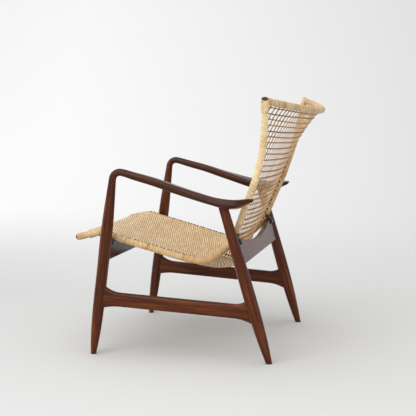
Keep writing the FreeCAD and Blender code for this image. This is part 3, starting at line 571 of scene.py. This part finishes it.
def seat_twill(name):
    """Dense cane twill: strips across float over two lengthwise strips and under one."""
    cane = Finish(name, roughness=0.5, specular=0.35)
    long_way, rows = cane.weave_map()
    place = cane.object_place()
    waver = cane.noise(place, 11.0)
    blotch = cane.noise(place, 30.0, detail=4.0)
    cross_way = cane.compute("ADD", rows, cane.times(waver, 2.6))
    column = cane.compute("FLOOR", long_way)
    row = cane.compute("FLOOR", cross_way)
    step = cane.compute("FLOORED_MODULO", cane.compute("SUBTRACT", column, row), TWILL_REPEAT)
    under = cane.compute("LESS_THAN", step, 0.5)

    # Heights of the floats across and of the strips that run lengthwise
    shifted = cane.compute("SUBTRACT", cane.compute("SUBTRACT", long_way, row), 1.0)
    float_place = cane.compute("DIVIDE", shifted, TWILL_REPEAT)
    float_run = cane.times(cane.compute("FRACT", float_place), TWILL_REPEAT / TWILL_OVER)
    arch = cane.hump(cane.compute("MINIMUM", float_run, 1.0))
    arched = cane.compute("ADD", 0.55, cane.times(arch, 0.45))
    row_height = cane.times(cane.hump(cane.compute("FRACT", cross_way)), arched)
    long_height = cane.times(cane.hump(cane.compute("FRACT", long_way)), 0.35)
    heights = {0: under, 2: row_height, 3: long_height}
    height = cane.add("ShaderNodeMix", heights, data_type="FLOAT").outputs[0]

    tint = cane.chance_in_plane(cane.plane_place(cane.compute("FLOOR", float_place), row))
    variation = cane.mixed(0.35, tint, blotch)
    floats = cane.ramp(variation, (0.25, shade(222, 186, 138)), (0.65, shade(246, 224, 182)))
    lengths = cane.ramp(variation, (0.25, shade(150, 108, 68)), (0.65, shade(182, 138, 92)))
    gap = cane.ramp(height, (0.03, 0.0), (0.35, 1.0))
    cane.paint(cane.blend(gap, shade(126, 86, 52), cane.blend(under, floats, lengths)))
    cane.bump(height, distance=0.0012, strength=0.8)
    return cane.material


def cane_strand(name, pale, deep, reverse):
    """Split cane strands: slow changes of tone, and a rough darker side away from the sitter."""
    cane = Finish(name, roughness=0.48, specular=0.35)
    strands = cane.weave_map()[0]
    tint = cane.chance(cane.compute("FLOOR", strands))
    soft = cane.noise(cane.object_place(), 45.0, detail=4.0)
    tone = cane.ramp(cane.mixed(0.5, tint, soft), (0.25, deep), (0.65, pale))
    away = cane.compute("LESS_THAN", cane.compute("FRACT", strands), STRAND_AWAY)
    cane.paint(cane.blend(away, tone, cane.multiply(1.0, tone, reverse)))
    cane.bump(soft, distance=0.0004, strength=0.5)
    return cane.material


def satin_black(name):
    metal = Finish(name, roughness=0.4, specular=0.5)
    speck = metal.noise(metal.object_place(), 300.0)
    metal.paint(metal.ramp(speck, (0.35, shade(20, 19, 19)), (0.7, shade(40, 37, 36))))
    metal.bump(speck, distance=0.0001, strength=0.4)
    return metal.material


def dark_gap(name):
    """Painted deep shade in the gaps of the lashing."""
    gap = Finish(name, roughness=0.8, specular=0.1)
    speck = gap.noise(gap.object_place(), 500.0)
    gap.paint(gap.ramp(speck, (0.3, shade(38, 24, 15)), (0.7, shade(70, 46, 30))))
    return gap.material


def pole_core(name):
    """Rattan pole under the wrap: only its dark cut ends show."""
    rattan = Finish(name, roughness=0.7, specular=0.2)
    pith = rattan.noise(rattan.object_place(), 420.0, detail=3.0)
    rattan.paint(rattan.ramp(pith, (0.3, shade(46, 30, 21)), (0.7, shade(92, 62, 42))))
    rattan.bump(pith, distance=0.0005, strength=0.6)
    return rattan.material


gap_shade = dark_gap("lashing_gap")
core = pole_core("pole_ends")
wound_cane = cane_winding("wound_cane", shade(254, 231, 184), shade(232, 193, 138), shade(156, 112, 70))
bound_cane = cane_winding("bound_cane", shade(246, 222, 174), shade(226, 186, 130), shade(124, 84, 50))
rail_cane = cane_winding("rail_cane", shade(228, 198, 150), shade(186, 146, 98), shade(128, 88, 54))
twill = seat_twill("seat_twill")
upright_strand = cane_strand(
    "upright_strand", shade(240, 208, 160), shade(192, 152, 106), shade(164, 146, 130)
)
row_strand = cane_strand("row_strand", shade(208, 168, 122), shade(150, 110, 74), shade(222, 210, 200))

# Windings: start, end, radius, spacing of the turns and depth of their joints.
# Each stretch closes down to the core's radius at its ends
WRAP_CORE = 0.0094
WRAP_STRETCHES = (
    (0.0015, 0.026, 0.0104, 0.0052, 0.0004),
    (0.026, 0.078, 0.0102, 0.0046, 0.0003),
    (0.078, 0.165, 0.0108, 0.0260, 0.0004),
    (0.165, 0.240, 0.0107, 0.0150, 0.0005),
    (0.240, 0.360, 0.0106, 0.0092, 0.0007),
    (0.360, 0.430, 0.0112, 0.0064, 0.0011),
    (0.430, 0.500, 0.0118, 0.0048, 0.0014),
    (0.500, 0.560, 0.0108, 0.0060, 0.0006),
    (0.560, 0.712, 0.0104, 0.0074, 0.0004),
    (0.712, 0.860, 0.0104, 0.0056, 0.0003),
    (0.860, POLE_LENGTH - 0.0015, 0.0104, 0.0064, 0.0003),
)
BINDING_CORE = 0.0098
BINDING_STRETCHES = (
    (0.004, 0.026, 0.0112, 0.0060, 0.0005),
    (0.432, 0.447, 0.0126, 0.0036, 0.0005),
    (0.458, 0.476, 0.0128, 0.0036, 0.0005),
    (0.714, 0.737, 0.0110, 0.0030, 0.0005),
    (0.862, 0.885, 0.0110, 0.0030, 0.0005),
    (0.972, 1.017, 0.0116, 0.0600, 0.0005),
)
RAIL_CORE = 0.0092
RAIL_START = 0.006
RAIL_JOINT = 0.034
RAIL_STRETCHES = (
    (RAIL_START, RAIL_JOINT, 0.0104, 0.0078, 0.0007),
    (RAIL_JOINT, top_rail.length - RAIL_JOINT, 0.0106, 0.0105, 0.0003),
    (top_rail.length - RAIL_JOINT, top_rail.length - RAIL_START, 0.0104, 0.0078, 0.0007),
)
# Rows of painted-shade ovals in the gaps: start, end, degrees round the pole, radius, spacing, and one
# gap's size
SEAT_GAPS = (0.074, 0.400, 103, 0.0106, 0.0124, (0.0074, 0.0062, 0.0022))
BACK_GAPS = (0.505, 0.820, 167, 0.0105, 0.0178, (0.0084, 0.0066, 0.0012))
# Unevenness of a row, as a share of its spacing, and its change from gap to gap
GAP_UNEVENNESS = 0.12
GAP_SHIFT = 2.9
# Dark cut ends of the poles at the front horns: low domes that start inside the wrap
DOME_RADIUS = 0.0090
DOME_RISE = 0.0068
DOME_SINK = 0.003
DOME_AROUND = 24
DOME_RINGS = 6


def make_wound(name, line, stretches, thickness, finish, node):
    """One piece of several stretches of winding round a core."""
    bm = new_mesh()
    for stretch in stretches:
        winding(bm, line, stretch, thickness)
    new_piece(name, bm, finish, node)


def make_gaps(side, pole, turn):
    bm = new_mesh()
    for row in (SEAT_GAPS, BACK_GAPS):
        lashing_gaps(bm, pole, turn, row)
    new_piece(f"lashing_gaps_{side}", bm, gap_shade, None)


def make_horn_end(side, pole):
    bm = new_mesh()

    def place(u, v):
        angle = v * math.pi / 2
        out = DOME_RISE * math.sin(angle) - DOME_SINK * (1 - v)
        rim = pole.ring(0.0, DOME_RADIUS * math.cos(angle), 2 * math.pi * u)
        return rim - pole.at(0.0)[1] * out

    closed_grid(bm, DOME_AROUND, DOME_RINGS, place, lambda u, v: (u, v))
    new_piece(f"horn_end_{side}", bm, core, None)


for side, pole, turn in SIDES:
    wrap_node = f"side_pole_wrap_{side}"
    make_wound(f"wrap_{side}", pole, WRAP_STRETCHES, WRAP_CORE, wound_cane, wrap_node)
    binding_node = f"pole_bindings_{side}"
    make_wound(f"bindings_{side}", pole, BINDING_STRETCHES, BINDING_CORE, bound_cane, binding_node)
for side, pole, turn in SIDES:
    make_gaps(side, pole, turn)
for side, pole, turn in SIDES:
    make_horn_end(side, pole)
make_wound("top_rail_winding", top_rail, RAIL_STRETCHES, RAIL_CORE, rail_cane, "top_rail_wrap")

# Seat: dense twill that rolls over the front bar and runs back to the bend.
# Lengthwise strips across the seat, and strips across it on the roll and behind it
SEAT_COLUMNS = 56
ROLL_ROWS = 21
SEAT_ROWS = 186
SEAT_ACROSS_FACES = 144
ROLL_FACES = 16
SEAT_ALONG_FACES = 120
SEAT_THICKNESS = 0.0026
SEAT_STOP = 0.463
ROLL_RADIUS = 0.0122
ROLL_THINNING = 0.0045
ROLL_EVEN_SHARE = 0.9
ROLL_START_DEGREES = -150
ROLL_SWEEP_DEGREES = 240
ROLL_BLEND = 0.035


def bar_point(across):
    return front_bar.at((1 - across) / 2 * front_bar.length)[0]


def roll_radius(across):
    """The weave thins where it dives between the bar and the side poles."""
    past = max(0.0, (abs(across) - ROLL_EVEN_SHARE) / (1 - ROLL_EVEN_SHARE))
    return ROLL_RADIUS - ROLL_THINNING * past**2


def roll_place(u, v):
    """From under the front bar, round its front and up to its top."""
    across = 2 * u - 1
    angle = math.radians(ROLL_START_DEGREES + ROLL_SWEEP_DEGREES * v)
    return bar_point(across) + Vector((0, -math.cos(angle), math.sin(angle))) * roll_radius(across)


def seat_place(u, v):
    """From the bar's top back to the bend, eased from the roll into the sagging shell."""
    across = 2 * u - 1
    bar = bar_point(across)
    first = (FRONT_BAR_ALONG - FRONT_BAR_BOW * (1 - across**2)) / POLE_LENGTH
    share = first + v * (SEAT_STOP - first)
    point = shell_point(share, across)
    behind = (share - first) * POLE_LENGTH / ROLL_BLEND
    if behind < 1:
        start = shell_point(first, across)
        point.z += (bar.z + roll_radius(across) - start.z) * (1 - behind**2) ** 2
        point.y += (bar.y - start.y) * (1 - behind) ** 2
    return point


def roll_map(u, v):
    return u * SEAT_COLUMNS, v * ROLL_ROWS


def seat_map(u, v):
    return u * SEAT_COLUMNS, ROLL_ROWS + v * SEAT_ROWS


def make_seat():
    bm = new_mesh()
    bent_grid(bm, SEAT_ACROSS_FACES, ROLL_FACES, roll_place, roll_map)
    bent_grid(bm, SEAT_ACROSS_FACES, SEAT_ALONG_FACES, seat_place, seat_map)
    bmesh.ops.remove_doubles(bm, verts=bm.verts, dist=SEAT_SEAM)
    seat = new_piece("seat_weave", bm, twill, "seat_cane")
    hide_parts("front_bar_wrap")
    thick = seat.modifiers.new("cane", "SOLIDIFY")
    thick.thickness = SEAT_THICKNESS
    thick.offset = 0


make_seat()

# Back: open mesh of flat uprights crossed by twisted pairs of strands
BACK_START = 0.452
BACK_STOP = 1 - TOP_RAIL_BACK / POLE_LENGTH
UPRIGHTS = 40
UPRIGHT_SPACING = 0.0185
UPRIGHT_WIDTH = 0.0052
UPRIGHT_THICKNESS = 0.0013
UPRIGHT_STEPS = 72
UPRIGHT_WAVER = 0.0010
UPRIGHT_WAVES = 23
UPRIGHT_SHIFT = 1.7
# Uprights that meet the pole start inside the shell's edge, found in steps up the pole
EDGE_MARGIN = 0.001
START_STEP = 0.004
# Rows from the top down: wider apart above a share of the pole's length than below it
TOP_ROW_BELOW = 0.0195
WIDE_ROWS = 0.0205
WIDE_ROWS_ABOVE = 0.72
CLOSE_ROWS = 0.0178
LAST_ROW_ABOVE = 0.004
ROW_WIDTH = 0.0024
ROW_THICKNESS = 0.0015
ROW_REACH = 0.999
ROW_STEPS = UPRIGHTS * 5
ROW_WAVER = 0.0009
ROW_WAVES = 9
ROW_SHIFT = 2.3
TWIST_DEPTH = 0.0018
TWIST_RISE = 0.0014
# Corners round a flat strand: across and through it, starting on the side away from the sitter
STRAND_CORNERS = ((-1, -1), (1, -1), (1, 1), (-1, 1), (-1, -1))


def row_shares():
    rows = []
    place = BACK_STOP * POLE_LENGTH - TOP_ROW_BELOW
    while place > BACK_START * POLE_LENGTH + LAST_ROW_ABOVE:
        rows.append(place / POLE_LENGTH)
        place -= WIDE_ROWS if place > WIDE_ROWS_ABOVE * POLE_LENGTH else CLOSE_ROWS
    return rows


def flat_strand(bm, number, steps, centre, width, thickness):
    """Flat strip: centre(v) gives its point, its way across and its normal."""

    def place(u, v):
        point, side, out = centre(v)
        wide, deep = STRAND_CORNERS[round(u * 4)]
        return point + side * (wide * width / 2) + out * (deep * thickness / 2)

    def mapped(u, v):
        return number + STRAND_MARGIN + (1 - 2 * STRAND_MARGIN) * u, v

    closed_grid(bm, len(STRAND_CORNERS) - 1, steps, place, mapped)


def upright_start(x):
    """Share of the pole's length where an upright at this place leaves the side pole."""
    start = BACK_START
    while abs(x) > half_width(start) + EDGE_MARGIN:
        start += START_STEP
    return start


def upright_centre(number, x, start, v):
    share = start + v * (BACK_STOP - start)
    point, side, along, out = shell_face(share, across_at(share, x))
    waver = UPRIGHT_WAVER * math.sin(UPRIGHT_WAVES * v + UPRIGHT_SHIFT * number)
    return point + side * waver, side, out


def row_centre(number, share, twist, v):
    """One strand of a twisted pair: twist is 0 or 1, half a turn apart."""
    point, side, along, out = shell_face(share, ROW_REACH * (2 * v - 1))
    crossings = 2 * half_width(share) / UPRIGHT_SPACING
    phase = math.pi * (crossings * (v - 0.5) + twist)
    waver = ROW_WAVER * math.sin(ROW_WAVES * v + ROW_SHIFT * number)
    rise = TWIST_RISE * math.cos(phase) + waver
    return point + out * (TWIST_DEPTH * math.sin(phase)) + along * rise, along, out


def make_uprights():
    bm = new_mesh()
    for number in range(UPRIGHTS):
        x = (number - (UPRIGHTS - 1) / 2) * UPRIGHT_SPACING
        start = upright_start(x)

        def centre(v, number=number, x=x, start=start):
            return upright_centre(number, x, start, v)

        flat_strand(bm, number, UPRIGHT_STEPS, centre, UPRIGHT_WIDTH, UPRIGHT_THICKNESS)
    new_piece("back_uprights", bm, upright_strand, "back_cane")


def make_rows():
    bm = new_mesh()
    for number, share in enumerate(row_shares()):
        for twist in (0, 1):

            def centre(v, number=number, share=share, twist=twist):
                return row_centre(number, share, twist, v)

            flat_strand(bm, number, ROW_STEPS, centre, ROW_WIDTH, ROW_THICKNESS)
    new_piece("back_rows", bm, row_strand, None)


make_uprights()
make_rows()

# Wood, clips and pole ends keep their made shape and get their finish.
# Each kind of wooden node has its grain along its length; the armrests and the front rail get darker
# copies of the same wood as painted shade
EVEN = (1.0, 1.0, 1.0, 1.0)
# Painted shade: a darker copy of the wood for the armrests and the front rail under the seat
SHADED_WOOD = (0.55, 0.56, 0.58, 1.0)
WOOD_WAYS = {
    "armrest": ((0.024, 0.969, -0.247), SHADED_WOOD),
    "front_leg": ((0.011, 0.129, 0.992), EVEN),
    "rear_leg": ((0.02, -0.28, 0.96), EVEN),
    "side_stretcher": ((0.0, 0.999, -0.05), EVEN),
    "front_rail": ((1, 0, 0), SHADED_WOOD),
    "rear_rail": ((1, 0, 0), EVEN),
    "corner_dowel": ((0, 0.7, 0.7), EVEN),
}
POLE_NODES = ("side_pole_left", "side_pole_right", "top_rail_pole", "front_bar_pole")


def finish_node(node, finish):
    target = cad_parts[node]
    if not target.material_slots:
        target.data.materials.append(finish)
    for place in target.material_slots:
        place.material = finish


def finish_nodes():
    woods = {kind: oiled_wood(f"{kind}_wood", way, shade_factor) for kind, (way, shade_factor) in WOOD_WAYS.items()}
    black = satin_black("clip_black")
    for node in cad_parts:
        for kind, wood in woods.items():
            if node.startswith(kind):
                finish_node(node, wood)
        if "clip" in node:
            finish_node(node, black)
        if node in POLE_NODES:
            finish_node(node, core)


finish_nodes()

# Camera at the photograph's viewpoint
CAMERA_LENS = 82.9
CAMERA_SENSOR = 36
CAMERA_PLACE = (3.10, 0.769, 0.80)
CAMERA_RIGHT = (-0.2438, 0.9698, 0.0)
CAMERA_FORWARD = (-0.9637, -0.2423, -0.1120)


def make_camera():
    data = bpy.data.cameras.new("view")
    data.lens = CAMERA_LENS
    data.sensor_width = CAMERA_SENSOR
    camera = bpy.data.objects.new("view", data)
    scene.collection.objects.link(camera)
    forward = Vector(CAMERA_FORWARD).normalized()
    upward = Vector(CAMERA_RIGHT).normalized().cross(forward).normalized()
    right = forward.cross(upward).normalized()
    turned = Matrix((right, upward, -forward)).transposed().to_4x4()
    camera.matrix_world = Matrix.Translation(CAMERA_PLACE) @ turned
    scene.camera = camera


make_camera()

# Pale floor that sweeps up into a backdrop behind the chair
FLOOR_REACH = 7.0
FLOOR_FACES = 60
SWEEP_START = 2.0
SWEEP_RADIUS = 2.0
# Painted light and shade: where the paper's brightness changes from side to side, and from the ground
# to the backdrop
LIGHT_FALLOFF_SIDES = (-2.0, 1.2)
LIGHT_FALLOFF_BEHIND = (-0.6, -2.6)
BACKDROP_PAINTED_LIGHT = (shade(246, 246, 246), shade(218, 218, 218))
GROUND_PAINTED_LIGHT = (shade(200, 200, 200), shade(215, 215, 214))


def studio_paper(name):
    paper = Finish(name, roughness=0.9, specular=0.1)
    x, y, z = paper.split(paper.object_place())
    # Painted light and shade: the backdrop is painted brighter towards -Y and darker towards +Y, and
    # the ground darker towards -Y near the key lamp
    sideways = paper.map_range(y, *LIGHT_FALLOFF_SIDES)
    behind = paper.map_range(x, *LIGHT_FALLOFF_BEHIND)
    backdrop = paper.blend(sideways, *BACKDROP_PAINTED_LIGHT)
    ground = paper.blend(sideways, *GROUND_PAINTED_LIGHT)
    paper.paint(paper.blend(behind, ground, backdrop))
    return paper.material


def make_floor():
    bm = bmesh.new()
    bmesh.ops.create_grid(bm, x_segments=FLOOR_FACES, y_segments=FLOOR_FACES, size=FLOOR_REACH)
    for vert in bm.verts:
        away = max(0.0, -vert.co.x - SWEEP_START)
        if away > 0:
            bend = min(away / SWEEP_RADIUS, 1.0) * math.pi / 2
            vert.co.x = -SWEEP_START - SWEEP_RADIUS * math.sin(bend)
            vert.co.z = SWEEP_RADIUS * (1 - math.cos(bend)) + max(0.0, away - SWEEP_RADIUS)
    floor = new_object("studio_floor", bm, studio_paper("studio_paper"))


make_floor()

# Soft studio light: an even white surround and two large lamps
SURROUND_STRENGTH = 0.89
world = bpy.data.worlds.new("studio")
scene.world = world
world.use_nodes = True
surround = world.node_tree.nodes["Background"]
surround.inputs["Color"].default_value = (1.0, 1.0, 1.0, 1.0)
surround.inputs["Strength"].default_value = SURROUND_STRENGTH


def lamp(name, place, target, power, size):
    data = bpy.data.lights.new(name, "AREA")
    data.shape = "RECTANGLE"
    data.size = size
    data.size_y = size
    data.energy = power
    made = bpy.data.objects.new(name, data)
    scene.collection.objects.link(made)
    aim = (Vector(target) - Vector(place)).to_track_quat("-Z", "Y")
    made.matrix_world = Matrix.Translation(place) @ aim.to_matrix().to_4x4()


lamp("key", place=(3.5, -1.4, 2.5), target=(0, 0.1, 0.5), power=76, size=3.0)
lamp("top", place=(0.2, -0.6, 3.4), target=(0, 0, 0.3), power=28, size=3.2)
